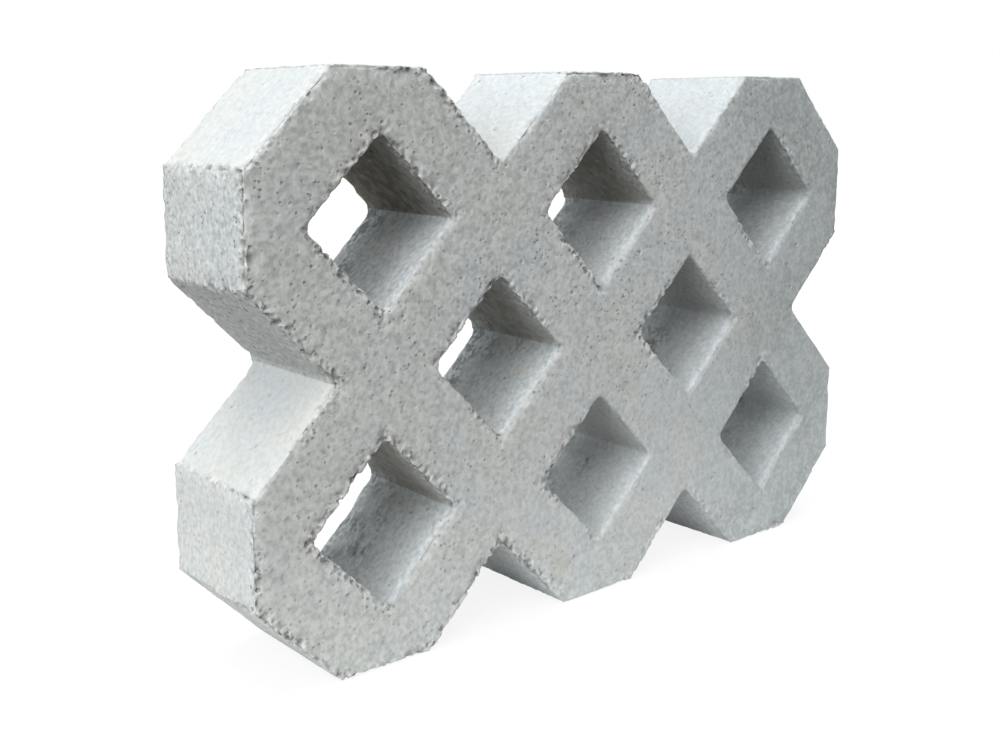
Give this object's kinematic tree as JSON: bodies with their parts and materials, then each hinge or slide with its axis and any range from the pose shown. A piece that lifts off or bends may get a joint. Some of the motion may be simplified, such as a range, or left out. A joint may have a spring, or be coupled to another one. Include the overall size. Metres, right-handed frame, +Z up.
{
  "type": "grass paver",
  "caption": "Pressed concrete grass paver: a notched block with open diamond cells for turf, laid flat in a module, here standing on its long edge.",
  "frame": {"origin": "middle of the long edge that the block stands on, halfway through its thickness", "axes": "+X along the block's length, +Y through its thickness from the pallet face to the face the cores were drawn from, +Z up the block's width as it stands"},
  "size_m": [0.45, 0.08, 0.3],
  "materials": {
    "concrete": "bare pressed concrete, sandy and slightly pitted"
  },
  "bodies": {
    "root": {"grass_paver": "concrete"}
  },
  "joints": []
}
